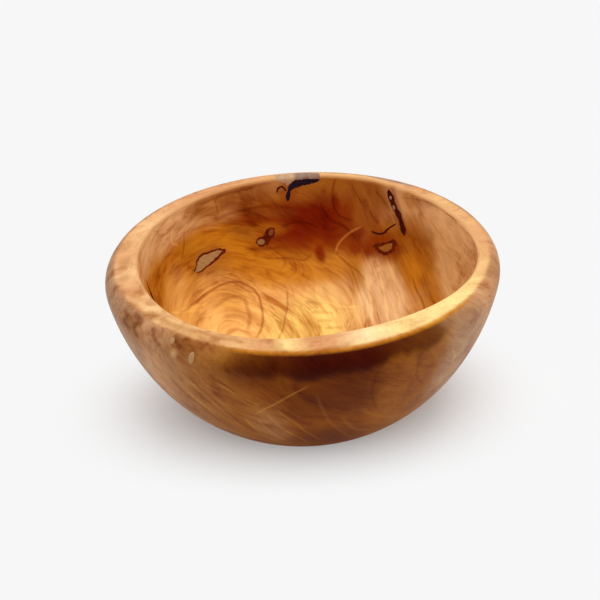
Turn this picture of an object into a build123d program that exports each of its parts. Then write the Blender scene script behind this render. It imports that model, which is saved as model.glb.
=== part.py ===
from build123d import *
import os

# A hand-turned olive-wood bowl that holds a ball of yarn.
#
# The bowl is one piece of wood, turned outside and hollowed inside. The branch stubs that the tree grew
# round, the bark that lines them and the filler that closes a gap in the rim are separate pieces of
# material, each let into its own pocket in the bowl. Nothing moves.
#
# Frame: millimetres, +Z up, the origin at the middle of the foot. -Y is the front, and azimuths are
# measured from +X towards +Y.

# ---------------------------------------------------------------- driving dimensions

bowl_radius = 70.0  # at the widest place, just under the rim
bowl_height = 64.0
foot_radius = 28.0
foot_edge_radius = 1.5

belly_height = 57.5  # where the wall is widest
shoulder = (69.6, 59.8)  # radius and height of a point half-way round to the bevel
bevel_foot = (68.7, 61.8)  # radius and height of the crease under the rim's bevel
land_radius = 66.9  # outer edge of the flat top of the rim
rim_edge_radius = 0.8

mouth_radius = 60.0
hollow_offset = (1.0, 2.0)  # the hollow was cut a little off the outside's axis
floor_height = 9.0
lip_radius = 1.2

pocket_depth = 4.0  # how far the stubs and the bark reach into the wall
clearance = 3.0  # how far a cutter starts outside the wall

# ---------------------------------------------------------------- the two profiles

# Radius and height along the outside, from the foot up to the belly.
outside_wall = Bezier((foot_radius, 0), (60.0, 14.2), (68.4, 46.2), (bowl_radius, belly_height))

# Radius from the hollow's own axis and height along the inside, from the floor up to the mouth.
mouth = (mouth_radius, bowl_height - 1.0)
hollow_wall = Bezier((0, floor_height), (50.0, floor_height), (57.4, 34.0), mouth)

with BuildPart() as outside:
    with BuildSketch(Plane.XZ):
        with BuildLine():
            Line((0, bowl_height), (0, 0))
            Line((0, 0), (foot_radius, 0))
            add(outside_wall)
            ThreePointArc((bowl_radius, belly_height), shoulder, bevel_foot)
            Line(bevel_foot, (land_radius, bowl_height))
            Line((land_radius, bowl_height), (0, bowl_height))
        make_face()
    revolve(axis=Axis.Z)
    rings = outside.edges().filter_by(GeomType.CIRCLE).group_by(Axis.Z)
    fillet(rings[0], foot_edge_radius)
    fillet(rings[-1], rim_edge_radius)

cutter_top = bowl_height + clearance
with BuildPart() as hollow:
    with BuildSketch(Plane.XZ):
        with BuildLine():
            add(hollow_wall)
            Polyline(mouth, (mouth_radius, cutter_top), (0, cutter_top), (0, floor_height))
        make_face()
    revolve(axis=Axis.Z)

with BuildPart() as blank:
    add(outside.part)
    with Locations(hollow_offset):
        add(hollow.part, mode=Mode.SUBTRACT)
    lip_edge = blank.edges().filter_by(GeomType.CIRCLE).group_by(Axis.Z)[-1].sort_by(SortBy.RADIUS)[0]
    fillet(lip_edge, lip_radius)


# ---------------------------------------------------------------- planes and outlines


def inner_plane(azimuth, down):
    """Touches the hollow's wall at this azimuth, this far down it from the lip.
    For someone facing that wall from inside, x is to the right, y is up and z is towards them."""
    reach = hollow_wall.length - down
    point = hollow_wall.position_at(reach, PositionMode.LENGTH)
    rise = hollow_wall.tangent_at(reach, PositionMode.LENGTH)
    outward = Vector(1, 0, 0).rotate(Axis.Z, azimuth)
    right = outward.cross(Axis.Z.direction)
    up = outward * rise.X + Axis.Z.direction * rise.Y
    centre = Vector(*hollow_offset) + outward * point.X + Axis.Z.direction * point.Y
    return Plane(centre, x_dir=right, z_dir=right.cross(up))


def outer_plane(azimuth, height, radius):
    """Stands upright against the outside at this azimuth and height, z pointing away from the bowl."""
    outward = Vector(1, 0, 0).rotate(Axis.Z, azimuth)
    centre = outward * radius + Axis.Z.direction * height
    return Plane(centre, x_dir=Axis.Z.direction.cross(outward), z_dir=outward)


def outline(*points):
    """A smooth closed outline through these points."""
    with BuildSketch() as drawn:
        with BuildLine():
            Spline(*points, periodic=True)
        make_face()
    return drawn.sketch


def oval(centre, radii, turn=0):
    """An ellipse, turned by so many degrees."""
    with BuildSketch() as drawn:
        with Locations(centre):
            Ellipse(*radii, rotation=turn)
    return drawn.sketch


def ribbon(width, *points):
    """A strip of even width along a smooth line through these points."""
    with BuildSketch() as drawn:
        with BuildLine() as line:
            Spline(*points)
        trace(line.line, width)
    return drawn.sketch


def cutter(plane, *shapes):
    """A straight-sided tool with this flat outline, from outside the wall to the pocket's floor."""
    with BuildPart() as tool:
        with BuildSketch(plane.offset(-pocket_depth)):
            add(shapes)
        extrude(amount=pocket_depth + clearance)
    return tool.part


def inlay(label, pocket, *neighbours):
    """What fills a pocket, flush with the surface of the blank, less the neighbours' own pockets."""
    with BuildPart() as filling:
        add(blank.part)
        add(pocket, mode=Mode.INTERSECT)
        if neighbours:
            add(neighbours, mode=Mode.SUBTRACT)
    filling.part.label = label
    return filling.part


# ---------------------------------------------------------------- stubs and bark in the hollow

# One long stub cut lengthways, lined all round with a thin bark.
long_stub_plane = inner_plane(azimuth=133.7, down=26.3)
long_stub_pocket = cutter(
    long_stub_plane,
    outline(
        (-11.0, -0.6), (-9.4, 1.4), (-7.4, 4.0), (-4.6, 5.8), (0.4, 5.7), (6.6, 5.0),
        (11.4, 3.6), (10.6, 1.4), (4.4, -0.8), (-2.2, -2.0), (-8.0, -2.4),
    ),
)
long_stub_core = cutter(
    long_stub_plane,
    outline(
        (-9.8, -0.7), (-8.2, 1.2), (-6.4, 3.2), (-4.0, 4.7), (0.4, 4.6), (5.6, 4.2),
        (9.6, 3.2), (6.0, 1.2), (2.4, 0.0), (-2.6, -1.1), (-7.4, -1.6),
    ),
)
long_stub = inlay("long_stub", long_stub_core)
long_stub_bark = inlay("long_stub_bark", long_stub_pocket, long_stub_core)

# Two small stubs side by side that share one bark.
twin_plane = inner_plane(azimuth=105.3, down=24.0)
lower_core = cutter(twin_plane, oval((-2.8, -0.5), (2.1, 1.5), -5))
upper_core = cutter(twin_plane, oval((1.9, 2.7), (1.2, 1.9), -25))
twin_pocket = cutter(
    twin_plane,
    outline(
        (-6.5, -0.6), (-5.4, -2.8), (-3.0, -3.7), (-0.2, -3.1), (1.8, -1.0), (3.9, 0.6),
        (5.0, 2.8), (4.2, 5.6), (1.6, 5.9), (-0.6, 4.0), (-2.0, 2.0), (-5.0, 1.5),
    ),
)
lower_twin_stub = inlay("lower_twin_stub", lower_core)
upper_twin_stub = inlay("upper_twin_stub", upper_core)
twin_bark = inlay("twin_bark", twin_pocket, lower_core, upper_core)

# A stub that healed over, in a heavy collar of bark, and a thread of bark above it.
healed_plane = inner_plane(azimuth=52.8, down=26.9)
healed_pocket = cutter(
    healed_plane,
    outline(
        (-7.8, 0.2), (-6.4, 2.2), (-2.3, 3.6), (1.4, 5.6), (4.1, 7.2), (5.9, 5.4),
        (5.4, 1.9), (3.4, -0.7), (1.2, -2.2), (-1.5, -2.8), (-4.8, -1.6),
    ),
)
healed_core = cutter(
    healed_plane,
    outline((-4.6, 0.6), (-1.0, 2.8), (2.8, 4.8), (3.5, 2.6), (2.0, 0.4), (-0.2, -0.7), (-2.9, -0.5)),
)
healed_stub = inlay("healed_stub", healed_core)
healed_bark = inlay("healed_bark", healed_pocket, healed_core)

thread_pocket = cutter(
    inner_plane(azimuth=55.4, down=19.6),
    ribbon(0.9, (-5.2, -0.5), (-1.6, -1.0), (0.6, 0.0), (2.4, 2.2), (5.6, 5.0)),
)
bark_thread = inlay("bark_thread", thread_pocket)

# A long seam of bark running down from the lip, with two drops of clear filler in it.
seam_plane = inner_plane(azimuth=50.6, down=9.7)
seam_pocket = cutter(
    seam_plane,
    outline(
        (-3.9, 8.2), (-2.0, 7.4), (-0.8, 5.9), (0.2, 3.6), (1.4, 1.7), (3.2, 0.0), (4.1, -2.2), (5.4, -3.9),
        (6.2, -6.2), (5.6, -8.6), (3.6, -7.4), (2.4, -5.2), (1.9, -3.4), (0.4, -1.5), (-1.0, 0.3),
        (-2.6, 2.0), (-4.0, 4.3), (-4.8, 6.4),
    ),
)
upper_drop = cutter(seam_plane, oval((-2.7, 5.3), (0.75, 0.9)))
lower_drop = cutter(seam_plane, oval((-0.8, 1.7), (0.75, 1.1), 30))
upper_seam_filler = inlay("upper_seam_filler", upper_drop)
lower_seam_filler = inlay("lower_seam_filler", lower_drop)
bark_seam = inlay("bark_seam", seam_pocket, upper_drop, lower_drop)

# A short splinter of bark in the wall on the left.
splinter_pocket = cutter(
    inner_plane(azimuth=177.2, down=17.1),
    outline((0.3, 5.2), (1.2, 1.5), (1.5, -2.4), (0.6, -4.8), (-0.5, -3.0), (-0.5, 1.4)),
)
bark_splinter = inlay("bark_splinter", splinter_pocket)

# ---------------------------------------------------------------- the mended gap in the rim

gap_plane = inner_plane(azimuth=91.3, down=4.7)

# Dark bark just under the lip, with a root that runs down the wall.
rim_bark_pocket = cutter(
    gap_plane,
    outline(
        (8.8, 3.6), (6.8, 3.9), (3.8, 3.9), (0.8, 3.9), (-1.8, 3.6), (-3.5, 2.0), (-4.3, -0.6), (-5.2, -2.6),
        (-4.2, -4.6), (-2.8, -2.8), (-2.8, -1.1), (-2.0, 0.3), (-0.4, 0.9), (0.9, 1.0), (3.9, 1.6), (6.9, 2.3),
    ),
)
rim_bark = inlay("rim_bark", rim_bark_pocket)

# Pale filler over the top of the rim, and in a tongue down the wall beside the bark.
filler_depth = 1.5
filler_azimuths = (82.0, 99.3)
filler_reach = bowl_radius + clearance

with BuildPart() as filler_cap:
    with BuildSketch(Plane.XY.offset(bowl_height - filler_depth)):
        with BuildLine():
            ends = [Vector(filler_reach, 0).rotate(Axis.Z, azimuth) for azimuth in filler_azimuths]
            Polyline((0, 0), *ends, close=True)
        make_face()
    extrude(amount=filler_depth + clearance)

with BuildSketch() as tongue:
    with BuildLine():
        Polyline((-5.6, 6.0), (-5.4, 3.3), (-4.6, 2.2), (-3.2, 1.4), (-1.2, 2.6), (-1.2, 6.0), close=True)
    make_face()

with BuildPart() as filler_pocket:
    add(filler_cap.part)
    add(cutter(gap_plane, tongue.sketch))
rim_filler = inlay("rim_filler", filler_pocket.part, rim_bark_pocket)

# A small arch of bark against the filler's lower edge.
arch_pocket = cutter(
    inner_plane(azimuth=97.4, down=5.4),
    ribbon(0.9, (-2.0, 0.4), (-1.6, 1.8), (-0.3, 2.6), (0.9, 2.0), (1.6, 0.7)),
)
arch_bark = inlay("arch_bark", arch_pocket, filler_pocket.part)

# ---------------------------------------------------------------- pin knots on the outside

upper_pin = cutter(outer_plane(azimuth=-127.7, height=62.4, radius=68.1), oval((0, 0), (1.1, 0.9)))
lower_pin = cutter(outer_plane(azimuth=-120.8, height=59.4, radius=69.7), oval((0, 0), (1.2, 2.7), 12))
upper_pin_knot = inlay("upper_pin_knot", upper_pin)
lower_pin_knot = inlay("lower_pin_knot", lower_pin)

# ---------------------------------------------------------------- the bowl, with its pockets

pockets = (
    long_stub_pocket,
    twin_pocket,
    healed_pocket,
    thread_pocket,
    seam_pocket,
    upper_drop,
    lower_drop,
    splinter_pocket,
    rim_bark_pocket,
    filler_pocket.part,
    arch_pocket,
    upper_pin,
    lower_pin,
)
with BuildPart() as turned_bowl:
    add(blank.part)
    add(pockets, mode=Mode.SUBTRACT)
turned_bowl.part.label = "turned_bowl"

inlays = (
    long_stub,
    long_stub_bark,
    lower_twin_stub,
    upper_twin_stub,
    twin_bark,
    healed_stub,
    healed_bark,
    bark_thread,
    bark_seam,
    upper_seam_filler,
    lower_seam_filler,
    bark_splinter,
    rim_bark,
    rim_filler,
    arch_bark,
    upper_pin_knot,
    lower_pin_knot,
)

os.makedirs("parts", exist_ok=True)
for piece in (turned_bowl.part, *inlays):
    export_step(piece, f"parts/{piece.label}.step")
    print(piece.label, round(piece.volume, 1), "mm3")
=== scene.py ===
# %% [markdown]
# # A turned olive-wood yarn bowl
#
# The real bowl is one block of olive wood, turned on a lathe, sanded and oiled. Nothing on it moves. The
# stubs of small branches, the bark round them and the filler that closes a gap in the rim are materials
# of their own, let into the wood. The CAD model holds their sizes and places. This script gives each of
# them a surface fine enough to carry its figure, and a finish.
#
# Lengths are in millimetres until a mesh is made. +Z is up, the front is at -Y, and azimuths are
# measured from +X towards +Y.

# %% Load the fixed frame
import itertools
import math

import bpy
import numpy as np
from mathutils import Matrix, Vector


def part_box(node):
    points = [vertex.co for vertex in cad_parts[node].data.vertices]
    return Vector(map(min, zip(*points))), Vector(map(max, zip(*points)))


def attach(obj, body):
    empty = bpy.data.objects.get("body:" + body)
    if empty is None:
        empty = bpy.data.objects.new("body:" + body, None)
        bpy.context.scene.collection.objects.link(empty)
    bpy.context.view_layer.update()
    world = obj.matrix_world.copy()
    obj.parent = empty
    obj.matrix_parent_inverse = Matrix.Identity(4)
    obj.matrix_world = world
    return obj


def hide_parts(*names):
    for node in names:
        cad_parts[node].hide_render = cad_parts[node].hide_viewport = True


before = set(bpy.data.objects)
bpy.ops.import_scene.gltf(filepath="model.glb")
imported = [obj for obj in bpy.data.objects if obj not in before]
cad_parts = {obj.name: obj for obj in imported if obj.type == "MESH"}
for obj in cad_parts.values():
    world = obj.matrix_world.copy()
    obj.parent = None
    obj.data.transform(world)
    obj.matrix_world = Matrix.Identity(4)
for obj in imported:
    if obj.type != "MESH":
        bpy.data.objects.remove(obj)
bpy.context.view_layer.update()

foot_corner, rim_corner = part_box("turned_bowl")
MM = 0.001
bowl_radius = (rim_corner.x - foot_corner.x) / 2 / MM
bowl_height = rim_corner.z / MM
print("bowl", round(bowl_radius * 2, 1), "mm across and", round(bowl_height, 1), "mm high")

# %% [markdown]
# ## The light and the camera
#
# A pale wood on a white table is easy to overlight. Most of the light here is an even pale sky, and one
# soft round lamp overhead makes the floor of the hollow and the top of the rim the brightest places. The
# floor shows white to the camera, but it still takes the bowl's shadow.

# %% Numbers of the studio
sky_strength = 0.68
lamp_power = 4.3
lamp_place = Vector((0.07, -0.02, 0.8))
lamp_width = 0.7
paper_white = (0.93, 0.93, 0.93, 1)
focal_length = 64.7
camera_height_angle = math.radians(30.685)
camera_side_angle = math.radians(0.23)
camera_roll = math.radians(-2.926)
camera_distance = 0.3943
camera_aim = Vector((-0.00134, 0.0, 0.04282))
scene = bpy.context.scene
scene.view_settings.view_transform = "Standard"

# %% Build the studio
world = bpy.data.worlds.new("pale_sky")
world.use_nodes = True
scene.world = world
sky_nodes = world.node_tree.nodes
sky_links = world.node_tree.links
sky_light = sky_nodes["Background"]
sky_light.inputs["Color"].default_value = paper_white
sky_light.inputs["Strength"].default_value = sky_strength
sky_seen = sky_nodes.new("ShaderNodeBackground")
sky_seen.inputs["Color"].default_value = paper_white
sky_path = sky_nodes.new("ShaderNodeLightPath")
sky_mix = sky_nodes.new("ShaderNodeMixShader")
sky_links.new(sky_path.outputs["Is Camera Ray"], sky_mix.inputs[0])
sky_links.new(sky_light.outputs[0], sky_mix.inputs[1])
sky_links.new(sky_seen.outputs[0], sky_mix.inputs[2])
sky_links.new(sky_mix.outputs[0], sky_nodes["World Output"].inputs["Surface"])

lamp_data = bpy.data.lights.new("overhead", "AREA")
lamp_data.shape = "DISK"
lamp_data.size = lamp_width
lamp_data.energy = lamp_power
lamp = bpy.data.objects.new("overhead", lamp_data)
lamp.location = lamp_place
lamp.rotation_euler = (-lamp_place).to_track_quat("-Z", "Y").to_euler()
scene.collection.objects.link(lamp)

backward = Vector((
    math.sin(camera_side_angle) * math.cos(camera_height_angle),
    -math.cos(camera_side_angle) * math.cos(camera_height_angle),
    math.sin(camera_height_angle),
))
level = Vector((math.cos(camera_side_angle), math.sin(camera_side_angle), 0))
upright = backward.cross(level)
rightward = level * math.cos(camera_roll) + upright * math.sin(camera_roll)
upward = backward.cross(rightward)
camera_data = bpy.data.cameras.new("camera")
camera_data.lens = focal_length
camera = bpy.data.objects.new("camera", camera_data)
axes = Matrix((rightward, upward, backward)).transposed().to_4x4()
camera.matrix_world = Matrix.Translation(camera_aim + backward * camera_distance) @ axes
scene.collection.objects.link(camera)
scene.camera = camera
print("camera", round(camera_distance * 1000), "mm from its aim")

# %% [markdown]
# ## The bowl's skin as a function of two parameters
#
# Everything on the bowl is placed on one profile that starts at the middle of the foot, climbs the
# outside, crosses the flat land on top of the rim and goes down the hollow to its floor. The first
# parameter is the distance along that profile, the second the azimuth. The hollow was cut a little off
# the outside's axis, so the centre of each ring slides from one axis to the other as it crosses the land.


# %% The profile
def curve(corners, count):
    """Bezier curve: neighbouring corners are mixed by t again and again until one point is left."""
    t = np.linspace(0, 1, count)[:, None, None]
    points = np.array(corners, float)[None]
    points = np.repeat(points, count, axis=0)
    while points.shape[1] > 1:
        points = points[:, :-1] * (1 - t) + points[:, 1:] * t
    return points[:, 0]


foot_radius = 28.0
belly_height = 57.5
shoulder_foot = (68.7, bowl_height - 2.2)
mouth_radius = 60.0
floor_height = 9.0
hollow_centre = np.array([1.0, 2.0])
hollow_corners = [(mouth_radius, 63), (57.4, 34), (50, floor_height), (0, floor_height)]

foot = curve([(0, 0.4), (12, 0.4), (20, 0.3), (24, 0)], 12)
foot_edge = curve([(26.4, 0), (28.3, 0), (29.7, 0.8)], 8)
wall = curve([(foot_radius, 0), (60, 14.2), (68.4, 46.2), (bowl_radius, belly_height)], 160)
wall = wall[wall[:, 0] > 29.9]
shoulder = curve([(bowl_radius, belly_height), (bowl_radius, 60.4), shoulder_foot], 14)[1:]
bevel = curve([shoulder_foot, (67.4, bowl_height), (65.9, bowl_height)], 12)[1:]
land = curve([(65.8, bowl_height), (61.6, bowl_height)], 12)
lip = curve([(61.4, bowl_height), (60.1, bowl_height), (mouth_radius - 0.1, bowl_height - 1.3)], 10)
hollow = curve(hollow_corners, 200)[3:]
outside = np.vstack([foot, foot_edge, wall, shoulder, bevel])
inside = np.vstack([lip, hollow])
profile = np.vstack([outside, land, inside])
steps = np.hypot(*np.diff(profile, axis=0).T)
travel = np.concatenate([[0], np.cumsum(steps)])
land_start = travel[len(outside) - 1]
lip_start = travel[len(outside) + len(land)]
lip_end = travel[len(outside) + len(land) + len(lip) - 1]
profile_end = travel[-1]
print("profile", round(profile_end, 1), "mm long, lip at", round(lip_end, 1))


# %% Skin: distance along the profile and azimuth to a place in space
def smooth(value, low, high):
    """0 below low, 1 above high, and an S curve, 3u^2 - 2u^3, between them."""
    u = np.clip((value - low) / (high - low), 0, 1)
    return u * u * (3 - 2 * u)


def lip_drift(azimuth):
    """How far the hand-eased lip strays from a true circle, in millimetres: three slow waves."""
    return 0.6 * np.cos(3 * azimuth) - 0.5 * np.sin(3 * azimuth) - 0.8 * np.sin(4 * azimuth)


direction = np.gradient(profile, travel, axis=0)
direction /= np.linalg.norm(direction, axis=1)[:, None]
easing_depth = 30.0


def skin(along, azimuth, lift=0.0):
    """A ring of radius r(along) about the centre that slides across the land, at height z(along),
    moved by lift along the profile's own outward normal (dz, -dr). The lip's drift dies away over
    the easing depth below it."""
    radius = np.interp(along, travel, profile[:, 0])
    height = np.interp(along, travel, profile[:, 1])
    run = np.interp(along, travel, direction[:, 0])
    rise = np.interp(along, travel, direction[:, 1])
    shift = smooth(along, land_start, lip_start)
    eased = shift * (1 - smooth(along, lip_end, lip_end + easing_depth))
    radius = radius + eased * lip_drift(azimuth) + lift * rise
    x = shift * hollow_centre[0] + radius * np.cos(azimuth)
    y = shift * hollow_centre[1] + radius * np.sin(azimuth)
    return np.stack([x, y, np.broadcast_to(height - lift * run, x.shape)], axis=-1)


# %% [markdown]
# ## From a grid to a mesh
#
# A grid of points becomes quads by joining each point to its neighbours. One helper closes the grid
# round the azimuth, one makes the mesh. Rows that shrink to a point at a pole are drawn together into
# one vertex, so that no hole and no zero-sized face is left there.


# %% Mesh helpers
def make_mesh(name, points, faces, slot, *nodes):
    """Puts points in millimetres and faces into a mesh that rides on the bowl's one body."""
    mesh = bpy.data.meshes.new(name)
    mesh.from_pydata((points * MM).tolist(), [], faces)
    mesh.polygons.foreach_set("use_smooth", np.ones(len(faces), dtype=bool))
    mesh.validate()
    piece = bpy.data.objects.new(name, mesh)
    scene.collection.objects.link(piece)
    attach(piece, "root")
    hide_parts(*nodes)
    print(name, len(points), "points and", len(faces), "faces")
    return piece


def closed_grid(rows, columns):
    """Quads of a tube of rows x columns points whose columns close on themselves, wound so that with
    rows climbing the outside of a bowl the faces look outwards."""
    row = np.arange(rows - 1)[:, None] * columns
    column = np.arange(columns)[None]
    following = (column + 1) % columns
    corners = [row + column, row + following, row + columns + following, row + columns + column]
    return np.stack(corners, axis=-1).reshape(-1, 4)


def capped(grid):
    """Flattens a grid of rows x columns points whose first and last rows are poles. Each pole becomes
    one vertex with a fan of triangles."""
    rows, columns = grid.shape[:2]
    points = np.vstack([grid[0, :1], grid[1:-1].reshape(-1, grid.shape[2]), grid[-1, :1]])
    quads = closed_grid(rows - 2, columns) + 1
    ring = np.arange(columns)
    following = (ring + 1) % columns
    last = len(points) - 1
    bottom = last - columns
    first_fan = np.stack([np.zeros(columns, int), following + 1, ring + 1], axis=-1)
    last_fan = np.stack([np.full(columns, last), bottom + ring, bottom + following], axis=-1)
    return points, quads.tolist() + first_fan.tolist() + last_fan.tolist()


def store(piece, name, values, kind="FLOAT_VECTOR"):
    """Keeps one value per vertex as a named attribute that a material can read."""
    values = np.asarray(values, dtype=np.float32)
    layer = piece.data.attributes.new(name, kind, "POINT")
    if kind == "FLOAT_COLOR":
        values = np.concatenate([values, np.ones((len(values), 1), np.float32)], axis=1)
        layer.data.foreach_set("color", values.ravel())
    else:
        layer.data.foreach_set("vector", values.ravel())


# %% [markdown]
# ## The turned bowl's grid
#
# The rows stand closer together where the figure is fine, in the hollow and on the upper outside, and
# wider apart under the foot. The hollow's distance from its floor centre and the azimuth make a flat
# chart, p to the right and q to the back, on which the figure inside is laid out.

# %% Rows, columns and the chart
columns = 480
row_stretches = [
    np.linspace(0, 26, 7),
    np.linspace(28, 58, 18),
    np.linspace(59.2, land_start - 1, 46),
    np.linspace(land_start - 0.4, lip_start, 12),
    np.linspace(lip_start + 0.4, lip_end, 5),
    np.linspace(lip_end + 0.7, profile_end, 112),
]
along = np.concatenate(row_stretches)[:, None]
azimuth = np.linspace(-math.pi, math.pi, columns, endpoint=False)[None]
bowl_grid = skin(along, azimuth)
depth_in = profile_end - along
chart_p = depth_in * np.cos(azimuth)
chart_q = depth_in * np.sin(azimuth)
degrees = np.degrees(azimuth) + 0 * along
climb = along + 0 * azimuth
print("grid of", len(along), "rows and", columns, "columns")

# %% [markdown]
# ## Tools for drawing the figure
#
# Wood colour drifts, it never steps. So each patch of colour is an oval with a soft edge, and the chart it
# is drawn on is first pushed about by slow random clouds, which makes its outline ragged. Thin figure
# lines are kept as distances: a distance changes evenly from one vertex to the next, so the material can
# cut a line from it that is finer than the mesh.


# %% Random clouds
def cloud(points, size, seed):
    """Soft random values from -1 to 1: random numbers on a lattice with cells of this size, mixed
    between the eight corners of a cell by 3u^2 - 2u^3."""
    count = 32
    lattice = np.random.default_rng(seed).uniform(-1, 1, (count, count, count))
    place = np.asarray(points) / size
    cell = np.floor(place).astype(int)
    part = place - cell
    part = part * part * (3 - 2 * part)
    total = 0
    for corner in itertools.product((0, 1), repeat=3):
        share = np.where(np.array(corner) == 1, part, 1 - part).prod(axis=-1)
        x, y, z = np.moveaxis((cell + corner) % count, -1, 0)
        total = total + share * lattice[x, y, z]
    return total


# %% Soft ovals, bands and lines
def oval_mask(x, y, centre, radii, turn, edge):
    """1 inside a turned ellipse, 0 outside, with an S curve over the edge, a share of its radius."""
    angle = math.radians(turn)
    u = (x - centre[0]) * math.cos(angle) + (y - centre[1]) * math.sin(angle)
    v = (y - centre[1]) * math.cos(angle) - (x - centre[0]) * math.sin(angle)
    return 1 - smooth(np.hypot(u / radii[0], v / radii[1]), 1 - edge, 1 + edge)


def between(value, low, high, edge):
    """1 between low and high, falling to 0 over the edge on both sides."""
    return smooth(value, low - edge, low + edge) * (1 - smooth(value, high - edge, high + edge))


def smooth_path(points, pieces=6):
    """Catmull-Rom curve: each stretch is the cubic through its two ends whose slopes follow the
    points on either side."""
    points = np.asarray(points, float)
    ends = np.vstack([2 * points[0] - points[1], points, 2 * points[-1] - points[-2]])
    before, here, after, beyond = ends[:-3, None], ends[1:-2, None], ends[2:-1, None], ends[3:, None]
    t = np.linspace(0, 1, pieces, endpoint=False)[None, :, None]
    bend = 2 * before - 5 * here + 4 * after - beyond
    twist = 3 * here - before - 3 * after + beyond
    curved = here + 0.5 * t * (after - before + t * (bend + t * twist))
    return np.vstack([curved.reshape(-1, points.shape[1]), points[-1:]])


def line_distance(x, y, points):
    """Signed distance from each place to a smooth line through these points, and how far along it,
    from 0 to 1, the nearest place is."""
    path = smooth_path(points)
    best = np.full(x.shape, 1e9)
    signed = np.full(x.shape, 1e9)
    where = np.zeros(x.shape)
    for number, (start, end) in enumerate(zip(path[:-1], path[1:])):
        step = end - start
        size = np.hypot(*step)
        u = np.clip(((x - start[0]) * step[0] + (y - start[1]) * step[1]) / size**2, 0, 1)
        away = np.hypot(x - start[0] - u * step[0], y - start[1] - u * step[1])
        side = np.sign((x - start[0]) * step[1] - (y - start[1]) * step[0])
        nearer = away < best
        best = np.where(nearer, away, best)
        signed = np.where(nearer, away * np.where(side == 0, 1, side), signed)
        where = np.where(nearer, (number + u) / (len(path) - 1), where)
    return signed, where


def line_pack(x, y, lines):
    """Each place keeps its nearest line: signed distance over the line's own half width, and the
    line's strength, which fades at its ends and 1.4 mm away from it."""
    ratio = np.full(x.shape, 9.0)
    nearest = np.full(x.shape, 9.0)
    power = np.zeros(x.shape)
    for strength, half_width, points in lines:
        signed, where = line_distance(x, y, points)
        closer = np.abs(signed) < nearest
        nearest = np.where(closer, np.abs(signed), nearest)
        ratio = np.where(closer, signed / half_width, ratio)
        power = np.where(closer, strength * between(where, 0.06, 0.94, 0.07), power)
    return np.stack([ratio, power * (1 - smooth(nearest, 0.8, 1.4)), 0 * power], axis=-1)


# %% Laying tones
def lay(colour, tone, share):
    """Lays a tone over a colour: colour x (1 - share) + tone x share."""
    share = np.asarray(share)[..., None]
    return colour * (1 - share) + np.array(tone) * share


def paint(colour, patches, x, y, full_turn=None):
    """Lays a list of patches, the first row first. A row is a tone, an oval's centre and radii, its
    turn in degrees, its soft edge and its strength. Where x is an azimuth, full_turn is 360, and the
    distance from the centre is taken the short way round the bowl."""
    for tone, centre, radii, turn, edge, strength in patches:
        across = x - centre[0]
        if full_turn:
            across = (across + full_turn / 2) % full_turn - full_turn / 2
        mask = oval_mask(across, y, (0, centre[1]), radii, turn, edge)
        colour = lay(colour, tones[tone], strength * mask)
    return colour


# %% [markdown]
# ## The tones of olive wood
#
# Olive heartwood runs from honey through amber to a brown that is nearly black. Under oil the darker
# tones turn deep and red. Each tone here is a plain linear colour with a maker's name, and every patch
# below is laid with one of them.

# %% Tones
tones = {
    "honey": (0.88, 0.44, 0.12),
    "straw": (0.84, 0.57, 0.22),
    "cream": (0.86, 0.60, 0.30),
    "peach": (0.80, 0.46, 0.21),
    "rose": (0.66, 0.31, 0.13),
    "blond": (0.93, 0.60, 0.14),
    "tan": (0.72, 0.40, 0.16),
    "gold": (0.58, 0.20, 0.010),
    "amber": (0.50, 0.17, 0.010),
    "umber": (0.42, 0.14, 0.012),
    "chestnut": (0.34, 0.10, 0.015),
    "rust": (0.25, 0.030, 0.002),
    "oxblood": (0.19, 0.010, 0.001),
    # sable is laid only in the band under the front of the rim: heartwood darkened further by painted
    # shade
    "sable": (0.045, 0.001, 0.0005),
    "treacle": (0.12, 0.020, 0.0005),
    "toffee": (0.26, 0.066, 0.002),
    "russet": (0.34, 0.118, 0.020),
    "hazel": (0.40, 0.20, 0.10),
    "ash": (0.27, 0.19, 0.155),
}
print(len(tones), "tones")

# %% [markdown]
# ## Patches of colour in the hollow
#
# The pith of the tree lay to the left of the floor's centre. Honey-coloured wood covers the floor, the
# left wall is amber, and the back wall is dark red. Large patches are laid first and most of the small
# ones over them, as a painter would. Bands that run round under the lip come next, with patches of
# their own.

# %% Warped chart
space = bowl_grid
p = chart_p + 2.2 * cloud(space, 15, 1) + 0.8 * cloud(space, 4, 2)
q = chart_q + 2.2 * cloud(space, 15, 3) + 0.8 * cloud(space, 4, 4)
warped_degrees = degrees + 2.2 * cloud(space, 14, 5) + 0.8 * cloud(space, 3.5, 6)
warped_climb = climb + 1.4 * cloud(space, 10, 7) + 0.4 * cloud(space, 3, 8)

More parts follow.
